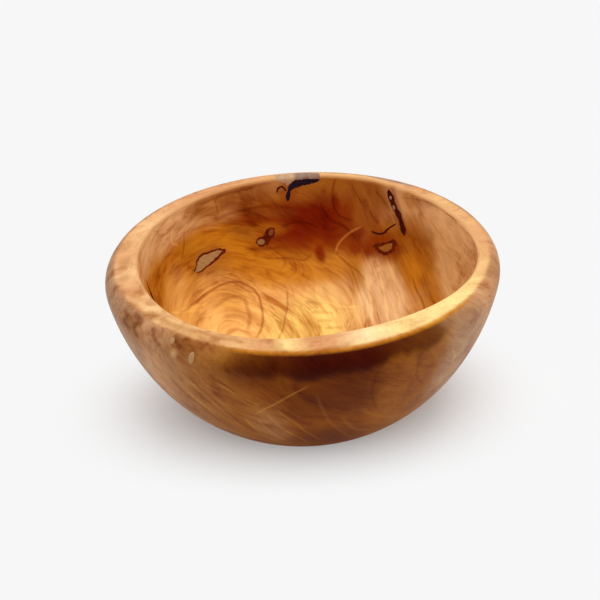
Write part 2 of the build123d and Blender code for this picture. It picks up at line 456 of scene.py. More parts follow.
# %% Hollow
hollow_patches = [
    ("honey", (-8, 4), (52, 48), 0, 0.22, 1.0),
    ("honey", (-20, 40), (26, 14), 10, 0.4, 0.8),
    ("tan", (20, 24), (30, 30), 0, 0.4, 0.5),
    ("amber", (-70, 34), (14, 34), 14, 0.5, 0.8),
    ("gold", (-56, 22), (10, 22), 15, 0.6, 0.8),
    ("gold", (-32, 57), (30, 8), -4, 0.5, 0.9),
    ("chestnut", (-60, 33), (4, 4), 0, 0.7, 0.6),
    ("tan", (77, 20), (15, 62), 0, 0.35, 1.0),
    ("umber", (54, 46), (12, 18), 20, 0.35, 1.0),
    ("umber", (46, 62), (16, 12), 0, 0.4, 1.0),
    ("rust", (2, 72), (34, 12), 0, 0.35, 0.9),
    ("rust", (-26, 74), (20, 6), 8, 0.6, 0.7),
    ("rust", (28, 62), (12, 9), -20, 0.5, 0.8),
    ("oxblood", (3, 76), (17, 8), 0, 0.5, 0.9),
    ("gold", (4, 53), (22, 5), 0, 0.5, 0.7),
    ("peach", (33, 34), (10, 18), 8, 0.3, 0.9),
    ("umber", (22, 49), (4, 6), 20, 0.6, 0.8),
    ("rust", (7, 60), (2.4, 3.2), 20, 0.5, 0.9),
    ("rust", (19.6, 79), (3.0, 3.0), 20, 0.6, 0.9),
    ("rust", (28, 64), (4.5, 2.6), 10, 0.6, 0.9),
    ("rust", (25, 60.5), (2.6, 3.4), -30, 0.6, 0.7),
    ("chestnut", (-46, 49), (12, 5), 46, 0.5, 0.6),
    ("rust", (-19, 66.5), (7.5, 5), 35, 0.5, 0.7),
    ("rust", (40, 54), (8.5, 5.5), -37, 0.5, 0.8),
    ("rust", (54, 65), (3.5, 11), -11, 0.5, 0.7),
    ("honey", (-56, 20), (8, 16), 12, 0.6, 0.6),
    ("blond", (0, 28), (15, 12), 0, 0.6, 0.8),
    ("gold", (-10, 50), (18, 4), 0, 0.6, 0.6),
    ("gold", (-34, 37), (11, 6), 25, 0.6, 0.45),
    ("gold", (50, 38), (6, 8), 0, 0.6, 0.8),
    ("rust", (45, 70), (9, 6), -30, 0.6, 0.8),
    ("chestnut", (65, 49), (8, 10), 35, 0.5, 0.9),
    ("oxblood", (-8, 69), (12, 3.5), -6, 0.6, 0.7),
    ("amber", (-24, 68), (14, 3), 12, 0.6, 0.7),
    ("oxblood", (14, 70), (5, 9), -15, 0.7, 0.6),
    ("chestnut", (34, 72), (8, 12), -25, 0.6, 0.7),
    ("rust", (26, 76), (3, 9), -25, 0.7, 0.6),
    ("umber", (-32, 66), (9, 3), 15, 0.6, 0.6),
    ("gold", (-36, 60), (12, 3), 12, 0.6, 0.7),
    ("chestnut", (-18, 77), (12, 2.5), 5, 0.7, 0.6),
]
hollow_colour = np.broadcast_to(tones["amber"], bowl_grid.shape)
hollow_colour = paint(hollow_colour, hollow_patches, p, q)
print("hollow laid with", len(hollow_patches), "patches")

# %% Bands and patches under the lip
warped_depth = depth_in + 0 * azimuth + 1.6 * cloud(space, 9, 9) + 0.6 * cloud(space, 3, 10)
lip_bands = [  # tone, first and last azimuth, depth on the chart, strength
    ("tan", -180, 60, 80, 0.8),
    ("peach", 118, 182, 83, 0.9),
    ("peach", -182, -20, 85, 0.7),
    ("peach", -20, 50, 84, 0.8),
    ("chestnut", 62, 112, 84, 0.75),
    ("tan", 96, 122, 88, 0.5),
]
for tone, start, end, depth, strength in lip_bands:
    band = between(warped_degrees, start, end, 5) * smooth(warped_depth, depth - 5, depth + 4)
    hollow_colour = lay(hollow_colour, tones[tone], strength * band)
rim_patches = [
    ("umber", (-52, 72), (18, 6), 35, 0.5, 0.8),
    ("chestnut", (-32, 83), (16, 6), 20, 0.5, 0.8),
    ("rust", (-7, 87), (6, 4), 0, 0.6, 0.5),
    ("peach", (-80, 42), (6, 11), 28, 0.7, 0.6),
    ("umber", (26, 88), (6, 4), -15, 0.6, 0.5),
    ("rust", (54, 66), (3.2, 11), -11, 0.6, 0.6),
    ("chestnut", (43, 74), (10, 7), -30, 0.6, 0.9),
    ("umber", (60, 52), (6, 8), 30, 0.6, 0.6),
    ("umber", (66, 64), (7, 4), -45, 0.6, 0.6),
    ("chestnut", (76, 52), (10, 2), -52, 0.8, 0.5),
    ("oxblood", (19.6, 79), (2.8, 2.6), 20, 0.6, 0.8),
    ("oxblood", (14.5, 84), (1.8, 1.4), 0, 0.7, 0.5),
    ("oxblood", (28.5, 65), (4.2, 2.6), 15, 0.6, 0.6),
    ("rust", (24.5, 60), (2.4, 3.2), -30, 0.6, 0.6),
    ("rust", (31, 57), (3.0, 3.6), 20, 0.7, 0.6),
    ("oxblood", (7, 60.5), (1.8, 2.8), 15, 0.6, 0.6),
    ("rust", (-12, 63), (6, 2.0), 5, 0.7, 0.4),
]
hollow_colour = paint(hollow_colour, rim_patches, p, q)
print("and", len(lip_bands), "bands and", len(rim_patches), "patches under the lip")

# %% [markdown]
# ## The land and the outside
#
# Round the land the cut runs through end grain and side grain in turn, so its tone changes with the
# azimuth, and small clouds of burl darken it at the left and the front. The outside is darkest at the
# front, where it is cut through heartwood, and rosy brown towards the sides. The patches here have
# azimuths in degrees, and millimetres up the profile from the middle of the foot.

# %% Land
land_stops = [
    (-180, "rose"), (-168, "peach"), (-157, "rose"), (-146, "peach"), (-134, "tan"), (-122, "tan"),
    (-112, "tan"), (-101, "rose"), (-95, "straw"), (-88, "rose"), (-82, "rose"), (-72, "cream"),
    (-62, "straw"), (-48, "straw"), (-34, "straw"), (-20, "tan"), (0, "rose"), (30, "tan"),
    (45, "rose"), (72, "tan"), (110, "rose"), (140, "rose"), (160, "peach"), (180, "rose"),
]
stop_degrees, stop_tones = zip(*land_stops)
stop_colours = np.array([tones[tone] for tone in stop_tones])
round_degrees = (warped_degrees + 180) % 360 - 180
channels = [np.interp(round_degrees, stop_degrees, stop_colours[:, part]) for part in range(3)]
land_colour = np.stack(channels, axis=-1)
grey_sliver = between(warped_degrees, 47, 64, 2) * (1 - smooth(climb, land_start + 1.0, land_start + 2.6))
land_colour = lay(land_colour, tones["ash"], 0.9 * grey_sliver)
land_patches = [
    ("russet", (-175, 112.6), (3, 1.3), 0, 0.7, 0.5),
    ("chestnut", (-166, 112.0), (2, 1.6), 0, 0.7, 0.45),
    ("russet", (-158, 110.6), (3, 1.6), 0, 0.7, 0.55),
    ("umber", (-152, 113.2), (3, 1.0), 0, 0.7, 0.45),
    ("russet", (172, 111.5), (4, 1.5), 0, 0.7, 0.4),
    ("russet", (-148, 109.8), (5, 1.8), 0, 0.5, 0.85),
    ("russet", (-141, 110.4), (3, 2.4), 0, 0.5, 0.8),
    ("chestnut", (-132, 112.6), (7, 0.9), 0, 0.8, 0.5),
    ("chestnut", (-118, 113.4), (8, 0.7), 0, 0.8, 0.5),
    ("rust", (-129, 110.0), (4, 1.2), 0, 0.8, 0.5),
    ("chestnut", (-84, 110.2), (6, 0.8), 0, 0.8, 0.5),
]
land_colour = paint(land_colour, land_patches, warped_degrees, warped_climb, 360)

burl = smooth(cloud(space, 4.2, 51) + 0.6 * cloud(space, 1.8, 52), 0.05, 0.75)
burl = burl * between(degrees, -172, -96, 6) + burl * between(degrees, -92, -78, 3)
land_colour = lay(land_colour, tones["chestnut"], 0.5 * burl)
print("land laid with", len(land_stops), "stops and", len(land_patches), "patches")

# %% Outside
outside_patches = [
    ("hazel", (-150, 85), (32, 40), 0, 0.4, 1.0),
    ("rose", (-137, 90), (7, 22), 0, 0.6, 0.5),
    ("russet", (-86, 80), (45, 60), 0, 0.3, 1.0),
    ("toffee", (-86, 80), (26, 48), 0, 0.4, 1.0),
    ("treacle", (-80, 93), (17, 13), 0, 0.6, 0.9),
    ("treacle", (-84, 62), (12, 12), 0, 0.6, 0.8),
    ("russet", (-103, 76), (6, 14), 10, 0.6, 0.8),
    ("hazel", (-101, 74), (5, 10), 0, 0.9, 0.30),
    ("russet", (-64, 88), (5, 14), 0, 0.7, 0.6),
    ("toffee", (-59, 90), (12, 20), 0, 0.6, 0.6),
    ("hazel", (-42, 90), (9, 24), 0, 0.5, 0.9),
    ("treacle", (-104, 101), (10, 5), 0, 0.6, 0.6),
    ("peach", (-126.6, 103.2), (1.0, 1.3), 0, 0.5, 0.7),
    ("russet", (-146, 103), (6, 5), 0, 0.7, 0.6),
]
outside_colour = np.broadcast_to(tones["hazel"], bowl_grid.shape)
back_drift = smooth(cloud(space, 26, 11), -0.25, 0.35)
outside_colour = lay(outside_colour, tones["umber"], 0.55 * back_drift)
outside_colour = lay(outside_colour, tones["rose"], 0.6 * smooth(cloud(space, 17, 12), -0.1, 0.5))
outside_colour = paint(outside_colour, outside_patches, warped_degrees, warped_climb, 360)
print("outside laid with", len(outside_patches), "patches")

# %% [markdown]
# A band of nearly black colour lies just under the front of the rim. It is dark heartwood with painted
# shade added where the wall below the crease turns down and away from the light. It is deepest in the
# middle, thins out to the right, and its lower edge runs down the fibres in streaks. The bevel above it is
# cut through amber wood and stands out as a bright facet.

# %% The dark band with its painted shade, and the bevel
crease = travel[len(outside) - len(bevel)]
along_fibre = space * (1, 1, 0.22)
band_depth = 5.6 - 1.2 * smooth(degrees, -84, -64) - 3.4 * smooth(degrees, -60, -47)
runs = 0.9 * cloud(along_fibre, 2.6, 41) + 0.9 * cloud(along_fibre, 7, 42)
above_edge = warped_climb + runs - crease + band_depth
# Painted shade under the crease, laid together with the heartwood's own dark: nearly black where it is
# strongest.
dark_band_and_shade = between(warped_degrees + 2 * runs, -109, -47, 7) * smooth(above_edge, -2.2, 1.4)
dark_band_and_shade = dark_band_and_shade * (0.72 + 0.28 * between(degrees, -97, -66, 8))
outside_colour = lay(outside_colour, tones["sable"], 0.95 * dark_band_and_shade)
gold_facet = between(warped_degrees, -110, -36, 6) * smooth(climb, crease + 1.1, crease + 2.4)
outside_colour = lay(outside_colour, tones["amber"], 0.95 * gold_facet)
foot_share = 1 - smooth(climb, 24, 34)
outside_colour = lay(outside_colour, tones["tan"], 0.35 * foot_share)
print("dark band up to", round(float(band_depth.max()), 1), "mm deep under the crease")

# %% Outside, land and hollow joined
to_land = smooth(climb, land_start - 0.9, land_start + 0.7)
to_hollow = smooth(climb, lip_start - 0.2, lip_end + 0.4)[..., None]
bowl_colour = lay(outside_colour, (0, 0, 0), to_land) + land_colour * to_land[..., None]
bowl_colour = bowl_colour * (1 - to_hollow) + hollow_colour * to_hollow
print("crease at", round(crease, 1), "mm and land at", round(land_start, 1), "mm up the profile")

# %% [markdown]
# ## Growth rings and figure lines
#
# In the hollow the growth rings close round the pith, so the streaks follow the distance from it. Outside,
# they follow the fibres of the block that the bowl was cut from, which run down to the right and a little
# back. Both are kept as one vector to a vertex, the figure, and the material's noise is finest along its
# first part and coarse along the other two. So in the hollow the first part is the distance from the
# pith. Outside, the first two parts lie across the fibres, with a pace of their own for the second.
#
# A dark arch marks one ring, and fine dark and golden lines mark others. On the outside a fan of pale
# fibres meets in a Y below the rim.

# %% Ring distance
pith = (-27.0, 15.0)
pith_p = chart_p - pith[0] + 3.0 * cloud(space, 24, 21)
pith_q = chart_q - pith[1] + 3.0 * cloud(space, 24, 22)
ring_distance = np.hypot(pith_p * (1 - 0.25 * smooth(pith_p, 0, 60)), 0.8 * pith_q)
straight = smooth(chart_p, 12, 34)
ring_distance = ring_distance * (1 - straight) + (chart_p + 0.12 * chart_q + 20) * straight
rings = np.stack([ring_distance, chart_p, chart_q], axis=-1)
fibre = np.array([0.79, 0.24, -0.56])
ring_normal = np.cross(fibre, (0, 1, 0))
fibre /= np.linalg.norm(fibre)
ring_normal /= np.linalg.norm(ring_normal)
tangent_pace = 5
fibre_pace = 1.4
block = np.stack([ring_normal, tangent_pace * np.cross(fibre, ring_normal), fibre_pace * fibre])
swayed = bowl_grid + 2.0 * np.stack([cloud(space, 18, seed) for seed in (31, 32, 33)], axis=-1)
figure = swayed @ block.T * (1 - to_hollow) + rings * to_hollow
print("pith at", pith, "on the chart")

# %% Dark lines in the hollow
arch_ring = [
    (-58, 11), (-47, 30), (-38, 41), (-30, 45.5), (-23, 44), (-19, 37), (-19, 26), (-23, 17),
]
dark_hollow_lines = [  # strength, half width and points on the chart
    (0.70, 0.55, arch_ring),
    (0.45, 0.90, [(-42, 27), (-34, 37), (-27, 39), (-24, 31), (-25, 22)]),
    (0.50, 0.35, [(-8, 47), (-8, 38), (-10, 28), (-13, 18)]),
    (0.40, 0.30, [(58, 68), (67, 61), (75, 53), (81, 44), (86, 33), (89, 20)]),
    (0.65, 0.35, [(49, 36), (49, 28), (50, 18), (49, 8)]),
    (0.55, 0.60, [(24, 92), (20, 88), (18, 80), (21, 74), (28, 70)]),
    (0.50, 0.45, [(31, 86), (33, 79), (36, 72)]),
    (0.50, 0.50, [(-66, 52), (-63, 46), (-62, 40)]),
    (0.50, 0.40, [(-20, 58), (-8, 59), (0, 58), (4, 61)]),
    (0.55, 0.50, [(-12, 72), (-4, 74), (4, 73), (9, 70)]),
    (0.55, 0.60, [(-38, 84), (-30, 88), (-20, 92)]),
    (0.45, 0.50, [(-54, 75), (-50, 72), (-47, 68)]),
    (0.50, 0.60, [(44, 78), (48, 72), (50, 65)]),
    (0.45, 0.45, [(14, 62), (18, 56), (24, 50), (27, 44)]),
    (0.60, 0.50, [(-62, 66), (-50, 76), (-38, 83), (-26, 88)]),
    (0.50, 0.70, [(-52, 64), (-40, 72), (-28, 78), (-16, 81)]),
    (0.55, 0.80, [(36, 78), (38, 70), (41, 64)]),
    (0.60, 0.80, [(10, 82), (15, 74), (22, 69), (27, 61)]),
    (0.45, 0.70, [(-30, 60), (-20, 62), (-10, 64)]),
    (0.50, 0.60, [(72, 60), (78, 52), (84, 42)]),
]
print(len(dark_hollow_lines), "dark lines in the hollow")

# %% The feather: a row of short dashes that branch off to the right
feather_root = (-1.0, 40.0)
barbs = 6
barb_step = (2.4, -4.4)
for number in range(barbs):
    start = (feather_root[0] + barb_step[0] * number, feather_root[1] + barb_step[1] * number)
    barb = 8.0 + 2.0 * math.sin(2.1 * number)
    middle = (start[0] + 0.5 * barb, start[1] - 0.05 * barb)
    end = (start[0] + barb, start[1] - 0.2 * barb)
    dark_hollow_lines.append((0.32, 0.80, [start, middle, end]))

# %% Pale lines in the hollow
pale_hollow_lines = [
    (0.75, 0.45, [(15, 59), (17, 62), (19.6, 64), (24.4, 65.8), (32.5, 66.6)]),
    (0.60, 0.45, [(-74, 47), (-71, 41), (-66, 44)]),
    (0.50, 0.60, [(-56, 18), (-48, 26), (-42, 31)]),
    (0.50, 0.50, [(-60, 12), (-50, 22), (-44, 27)]),
    (0.45, 0.50, [(-82, 58), (-76, 66), (-68, 73)]),
    (0.50, 0.60, [(26, 22), (28, 36), (27, 48)]),
    (0.50, 0.50, [(33, 22), (34, 38), (34, 52)]),
    (0.45, 0.60, [(39, 24), (40, 38), (39, 50)]),
    (0.45, 0.50, [(8, 40), (15, 36), (22, 34)]),
]
line_p = chart_p + 0.5 * cloud(space, 7, 23)
line_q = chart_q + 0.5 * cloud(space, 7, 24)
hollow_dark = line_pack(line_p, line_q, dark_hollow_lines)
hollow_pale = line_pack(line_p, line_q, pale_hollow_lines)

# %% Lines on the outside
millimetres_per_degree = bowl_radius * math.pi / 180
outside_x = degrees * millimetres_per_degree + 0.5 * cloud(space, 8, 14)
outside_y = climb + 0.5 * cloud(space, 6, 13)


def in_millimetres(lines):
    """Turns points of (azimuth in degrees, distance up the profile) into millimetres both ways."""
    scale = (millimetres_per_degree, 1)
    return [(strength, half_width, np.array(points) * scale) for strength, half_width, points in lines]


pale_outside_lines = [
    (0.45, 0.35, [(-89.5, 98), (-95.5, 93), (-100, 88.3), (-106, 81.5)]),
    (0.30, 0.45, [(-116, 97.5), (-109, 92), (-103, 87.6)]),
    (0.32, 0.45, [(-98.5, 86.5), (-96.5, 82), (-93, 75), (-86, 60)]),
    (0.34, 0.40, [(-102, 83), (-99, 75), (-94, 66), (-90, 57)]),
    (0.30, 0.50, [(-105.5, 80), (-103, 72), (-98, 60)]),
    (0.36, 0.45, [(-109.5, 80), (-107, 70), (-103, 60)]),
    (0.15, 0.60, [(-88, 95), (-85, 80), (-80, 68), (-74, 57)]),
    (0.20, 0.70, [(-81, 80), (-75, 68), (-66, 60)]),
    (0.20, 0.70, [(-76, 84), (-68, 74), (-60, 68)]),
    (0.35, 0.50, [(-48, 98), (-45, 92), (-44, 86)]),
    (0.30, 0.50, [(-124, 94), (-117, 82), (-110, 68)]),
    (0.25, 0.50, [(-131, 96), (-124, 84), (-118, 72)]),
]
dark_outside_lines = [
    (0.60, 0.55, [(-114, 98), (-109.5, 92.8), (-104.5, 87)]),
    (0.50, 0.60, [(-126, 98), (-118, 88), (-111, 74)]),
    (0.45, 0.60, [(-132, 92), (-123, 78), (-116, 66)]),
    (0.40, 0.60, [(-140, 92), (-130, 74), (-124, 62)]),
    (0.35, 0.60, [(-72, 101), (-73, 90), (-70, 80)]),
    (0.35, 0.60, [(-60, 101), (-59, 92), (-55, 84)]),
    (0.75, 1.20, [(-151, 107.5), (-147.5, 106.6), (-148.3, 104.2), (-144, 104.2)]),
    (0.75, 1.20, [(-146, 109.5), (-141, 108.4), (-142.5, 106.9), (-143, 104.8), (-140, 102.7)]),
    (0.65, 1.00, [(-136, 109.5), (-134, 106), (-131, 104)]),
    (0.60, 0.80, [(-127.5, 109), (-125.7, 107.2), (-124, 106)]),
]
outside_dark = line_pack(outside_x, outside_y, in_millimetres(dark_outside_lines))
outside_pale = line_pack(outside_x, outside_y, in_millimetres(pale_outside_lines))
dark_line = outside_dark * (1 - to_hollow) + hollow_dark * to_hollow
pale_line = outside_pale * (1 - to_hollow) + hollow_pale * to_hollow
dark_count = len(dark_hollow_lines) + len(dark_outside_lines)
pale_count = len(pale_hollow_lines) + len(pale_outside_lines)
print(dark_count, "dark lines in all and", pale_count, "pale ones")

# %% [markdown]
# ## Writing shader maths in Python
#
# A material is a graph of nodes, but most of it is plain arithmetic. A small class wraps one output
# socket, so that an expression such as `1 - line * strength` adds its Math nodes by itself. Anything that
# is not arithmetic comes from one method that takes the node's type, its settings and its sockets.


# %% Link: one output socket that arithmetic works on
class Link:
    """An output socket of a material's node."""

    def __init__(self, finish, socket):
        self.finish = finish
        self.socket = socket

    def math(self, operation, first, second=0.0):
        return self.finish.node("ShaderNodeMath", {"operation": operation}, {0: first, 1: second})

    def __add__(self, other):
        return self.math("ADD", self, other)

    def __radd__(self, other):
        return self.math("ADD", other, self)

    def __sub__(self, other):
        return self.math("SUBTRACT", self, other)

    def __rsub__(self, other):
        return self.math("SUBTRACT", other, self)

    def __mul__(self, other):
        return self.math("MULTIPLY", self, other)

    def __rmul__(self, other):
        return self.math("MULTIPLY", other, self)

    def size(self):
        return self.math("ABSOLUTE", self)

    def cycle(self):
        """The part after the decimal point: climbs from 0 to 1, then drops at once."""
        return self.math("FRACT", self)

    def clamped(self):
        return self.finish.node(
            "ShaderNodeMath", {"operation": "ADD", "use_clamp": True}, {0: self, 1: 0.0}
        )

    def step(self, low, high):
        """0 at low, 1 at high and an S curve between them; low may be above high."""
        sockets = {"Value": self, "From Min": low, "From Max": high}
        return self.finish.node("ShaderNodeMapRange", {"interpolation_type": "SMOOTHSTEP"}, sockets)


# %% Finish: one material
class Finish:
    """A material and the helpers that add nodes to it."""

    def __init__(self, name):
        self.material = bpy.data.materials.new(name)
        self.material.use_nodes = True
        self.tree = self.material.node_tree
        self.shader = self.tree.nodes["Principled BSDF"]

    def node(self, kind, settings, sockets, output=0):
        """Adds a node: its settings are set first, then each socket gets a value or a link."""
        made = self.tree.nodes.new(kind)
        for name, value in settings.items():
            setattr(made, name, value)
        for name, value in sockets.items():
            self.plug(made.inputs[name], value)
        return Link(self, made.outputs[output])

    def plug(self, socket, value):
        if isinstance(value, Link):
            self.tree.links.new(value.socket, socket)
        else:
            socket.default_value = value

    def surface(self, **sockets):
        """Sets the shader's own sockets; a double underscore in a name stands for a space."""
        for name, value in sockets.items():
            self.plug(self.shader.inputs[name.replace("__", " ")], value)

    def attribute(self, name, output="Vector"):
        return self.node("ShaderNodeAttribute", {"attribute_name": name}, {}, output)

    def parts(self, vector):
        """The three numbers of a vector."""
        return [self.node("ShaderNodeSeparateXYZ", {}, {0: vector}, part) for part in range(3)]

    def object_place(self):
        return self.node("ShaderNodeTexCoord", {}, {}, "Object")

    def place_mm(self):
        """The place on the object, in millimetres."""
        return self.stretched(self.object_place(), (1 / MM, 1 / MM, 1 / MM))

    def stretched(self, vector, by):
        return self.node("ShaderNodeVectorMath", {"operation": "MULTIPLY"}, {0: vector, 1: by})

    def noise(self, vector, scale, detail, rough, swirl=0.0):
        """Fractal noise from 0 to 1 with scale cells to the unit; swirl folds it over itself."""
        sockets = {"Vector": vector, "Scale": scale, "Detail": detail, "Roughness": rough}
        sockets["Distortion"] = swirl
        return self.node("ShaderNodeTexNoise", {}, sockets, "Fac")

    def blend(self, share, first, second):
        """first x (1 - share) + second x share, on colours."""
        sockets = {0: share, 6: first, 7: second}
        return self.node("ShaderNodeMix", {"data_type": "RGBA"}, sockets, 2)

    def tinted(self, colour, by):
        """Each channel times the same channel of by."""
        settings = {"data_type": "RGBA", "blend_type": "MULTIPLY"}
        return self.node("ShaderNodeMix", settings, {0: 1.0, 6: colour, 7: (*by, 1)}, 2)

    def bump(self, height, depth_mm, strength):
        """A normal that leans as if the surface rose by depth_mm where height is 1."""
        sockets = {"Height": height, "Distance": depth_mm * MM, "Strength": strength}
        return self.node("ShaderNodeBump", {}, sockets)

    def cover(self, piece):
        piece.data.materials.clear()
        piece.data.materials.append(self.material)


# %% [markdown]
# ## Oiled olive wood
#
# The painted tone is only the ground. Over it run flames and streaks that are long one way and narrow the
# other, because their noise is read from the figure, and every few millimetres a growth year ends in a
# thin dark edge. A dark streak deepens the ground's own colour and a pale one lifts it, so the figure
# suits every tone. Both colours are products of the ground, never sums, so a nearly black band stays
# clean. Pores are fine dashes. The oil gives a satin surface that is a little duller in the pores.

# %% Flames, streaks and years
# Each grain says how many cells of noise there are to a millimetre of each part of the figure.
flame_grain = (0.10, 0.028, 0.034)
streak_grain = (0.28, 0.035, 0.035)
fine_grain = (1.4, 0.09, 0.09)
year_grain = (0.075, 0.02, 0.02)
years_to_a_cell = 7
flame_weight = 1.9
streak_weight = 1.25
fine_weight = 0.80
year_weight = 0.25
grain_lift = 0.08


def grain_of(wood, figure, ring_share):
    """Three noises less their middle values, and less the dark edge of every year: a number that is
    below 0 in dark wood and above 0 in pale wood. Returns it, the flame and the fine noise."""
    flame = wood.noise(wood.stretched(figure, flame_grain), 1.0, 5, 0.62, 1.0)
    streak = wood.noise(wood.stretched(figure, streak_grain), 1.0, 4, 0.6, 0.8)
    fine = wood.noise(wood.stretched(figure, fine_grain), 1.0, 3, 0.6, 0.4)
    slow = wood.noise(wood.stretched(figure, year_grain), 1.0, 3, 0.5, 1.2)
    year = (slow * years_to_a_cell).cycle()
    year_edge = year.step(0.25, 1.0) * year.step(1.0, 0.93) * ring_share
    grain = (flame - 0.5) * flame_weight + (streak - 0.5) * streak_weight * ring_share
    grain = grain + (fine - 0.5) * fine_weight + grain_lift - year_edge * year_weight
    return grain, flame, fine


# %% Figure lines
dark_line_tint = (0.45, 0.20, 0.10)
pale_line_tint = (1.5, 1.9, 1.9)
pale_fibre = (0.8, 0.36, 0.07, 1)


def with_lines(wood, colour, place_mm):
    """Cuts each line where its signed distance, in half widths and roughened by noise, is under 2."""
    ragged = (wood.noise(place_mm, 0.7, 3, 0.6) - 0.5) * 1.3
    dark_ratio, dark_power, _ = wood.parts(wood.attribute("dark_line"))
    dark_mask = (dark_ratio + ragged).size().step(2.0, 0.0) * dark_power
    colour = wood.blend(dark_mask, colour, wood.tinted(colour, dark_line_tint))
    pale_ratio, pale_power, _ = wood.parts(wood.attribute("pale_line"))
    pale_mask = (pale_ratio + ragged).size().step(2.0, 0.0) * pale_power
    paler = wood.blend(0.4, wood.tinted(colour, pale_line_tint), pale_fibre)
    return wood.blend(pale_mask, colour, paler)


# %% Olive wood
deepening = -1.7
deep_tint = (0.56, 0.34, 0.16)
lifting = 1.6
lifted_tint = (1.25, 1.5, 1.6)
land_calm = 0.45
pore_tint = (0.5, 0.36, 0.25)
pore_grain = (3.2, 3.2, 0.7)
oil_sheen = 0.06
oil_colour = (1.0, 0.7, 0.45, 1)


def olive_wood():
    """Ground tone, then grain, lines and pores, each over what lies below it."""
    wood = Finish("olive_wood_oiled")
    place_mm = wood.place_mm()
    ground = wood.attribute("tone", "Color")
    land_share, ring_share, _ = wood.parts(wood.attribute("shares"))
    grain, flame, fine = grain_of(wood, wood.attribute("figure"), ring_share)
    calm = 1 - land_calm * land_share
    deepened = (grain * deepening * calm).clamped()
    lifted = (grain * lifting * calm).clamped()
    colour = wood.blend(deepened, ground, wood.tinted(ground, deep_tint))
    colour = wood.blend(lifted, colour, wood.tinted(ground, lifted_tint))
    colour = with_lines(wood, colour, place_mm)
    pores = wood.noise(wood.stretched(place_mm, pore_grain), 1.0, 2, 0.5).step(0.60, 0.74)
    colour = wood.blend(pores * 0.22, colour, wood.tinted(colour, pore_tint))
    wood.surface(
        Specular__IOR__Level=oil_sheen,
        Specular__Tint=oil_colour,
        Base__Color=colour,
        Roughness=0.40 + pores * 0.2 + (flame - 0.5) * 0.16,
        Normal=wood.bump(fine * 0.5 - pores * 0.6, 0.06, 0.5),
    )
    return wood


# %% Shares
land_share = to_land - to_hollow[..., 0]
ring_share = 0.6 + 0.4 * oval_mask(chart_p, chart_q, (-35, 25), (60, 60), 0, 0.4)
shares = np.stack([land_share, ring_share, 0 * ring_share], axis=-1)
print("weakest share of the rings", round(float(ring_share.min()), 2))

# %% [markdown]
# ## The bowl as one closed mesh
#
# The painted values travel with the grid: place and attributes are stacked side by side, and both poles
# are closed in one go, so every value stays with its own vertex.

# %% Make the bowl
layers = {"tone": bowl_colour, "figure": figure, "shares": shares}
layers |= {"dark_line": dark_line, "pale_line": pale_line}
stacked = np.concatenate([bowl_grid, *layers.values()], axis=-1)
stacked_points, bowl_faces = capped(stacked)
bowl = make_mesh("turned_bowl_wood", stacked_points[:, :3], bowl_faces, "olive_wood", "turned_bowl")
for number, name in enumerate(layers, start=1):
    kind = "FLOAT_COLOR" if name == "tone" else "FLOAT_VECTOR"
    store(bowl, name, stacked_points[:, 3 * number:3 * number + 3], kind)
oiled_wood = olive_wood()
oiled_wood.cover(bowl)

# %% [markdown]
# ## Letting a piece into the wall
#
# A stub of branch wood, its bark or a filler lies flush in the wall, with the hair of a step that sanding
# leaves between soft wood and hard. Each is a thin closed lens or ribbon that follows the skin: its top
# stands about a tenth of a millimetre proud or less, and its edge turns down into the wood. Its outline is
# drawn flat, in millimetres, and wrapped on to the skin.

# %% From a flat drawing to the skin
hollow_curve = curve(hollow_corners, 400)
hollow_length = np.hypot(*np.diff(hollow_curve, axis=0).T).sum()
print("hollow wall", round(hollow_length, 1), "mm long from lip to floor centre")


def on_wall(turn, down):
    """Wraps (x, y) round a place in the hollow: x is to the right of someone facing that wall, y up it."""
    centre = profile_end - (hollow_length - down)

    def place(x, y, lift):
        radius = np.interp(centre - y, travel, profile[:, 0])
        return skin(centre - y, math.radians(turn) - x / radius, lift)

    return place


def on_outside(turn, height):
    """Wraps (x, y) round a place on the outside: x is to the right of someone facing it, y up it."""
    rising = travel < land_start
    centre = np.interp(height, profile[rising, 1], travel[rising])

    def place(x, y, lift):
        radius = np.interp(centre + y, travel, profile[:, 0])
        return skin(centre + y, math.radians(turn) + x / radius, lift)

    return place


def signed_volume(points, faces):
    """Six times the volume: the sum of a . (b x c) over the fan of triangles of every face."""
    triangles = [(face[0], face[i], face[i + 1]) for face in faces for i in range(1, len(face) - 1)]
    a, b, c = np.moveaxis(points[np.array(triangles)], 1, 0)
    return np.einsum("ij,ij->i", a, np.cross(b, c)).sum()


def let_in(name, slot, node, place, shape, tone, finish):
    """A shape, a closed grid of flat places and lifts, becomes a piece in place of its node. It keeps
    its flat drawing, in millimetres, for the finish to follow. The tone is a colour, or a function
    that gives one for each point of the drawing."""
    flat, lift = shape
    x, y, _ = np.moveaxis(flat, -1, 0)
    wrapped = place(x, y, lift)
    points, faces = capped(np.concatenate([wrapped, flat], axis=-1))
    if signed_volume(points[:, :3] - points[:, :3].mean(axis=0), faces) < 0:
        faces = [face[::-1] for face in faces]
    piece = make_mesh(name, points[:, :3], faces, slot, node)
    drawing = points[:, 3:6]
    store(piece, "drawing", drawing)
    colours = tone(drawing) if callable(tone) else np.broadcast_to(tone, drawing.shape)
    store(piece, "tone", colours, "FLOAT_COLOR")
    finish.cover(piece)


# %% Heights of an inlay over the wood, in millimetres
cap_proud = 0.035
thread_proud = 0.04
arch_proud = 0.05
seam_proud = 0.06
root_proud = 0.07
bed_proud = 0.04
core_proud = 0.08
healed_extra = 0.01
pin_proud = 0.05
drop_proud = 0.14
edge_drop = 0.25
rooted = 0.9
lens_rings = 9
print("inlays stand", cap_proud, "to", drop_proud, "mm proud")


# %% Two shapes: a lens and a ribbon
def section(count, proud_by, root):
    """Lift across a piece: a flat-topped crown, proud x (1 - u^8) less the drop at its edge, and back
    below at the root's depth. Returns shares across from -1 to 1 and lifts."""
    across = np.cos(np.linspace(0, math.pi, count))
    top = proud_by - (proud_by + edge_drop) * across**8
    return np.concatenate([across, across[-2:0:-1]]), np.concatenate([top, np.full(count - 2, -root)])


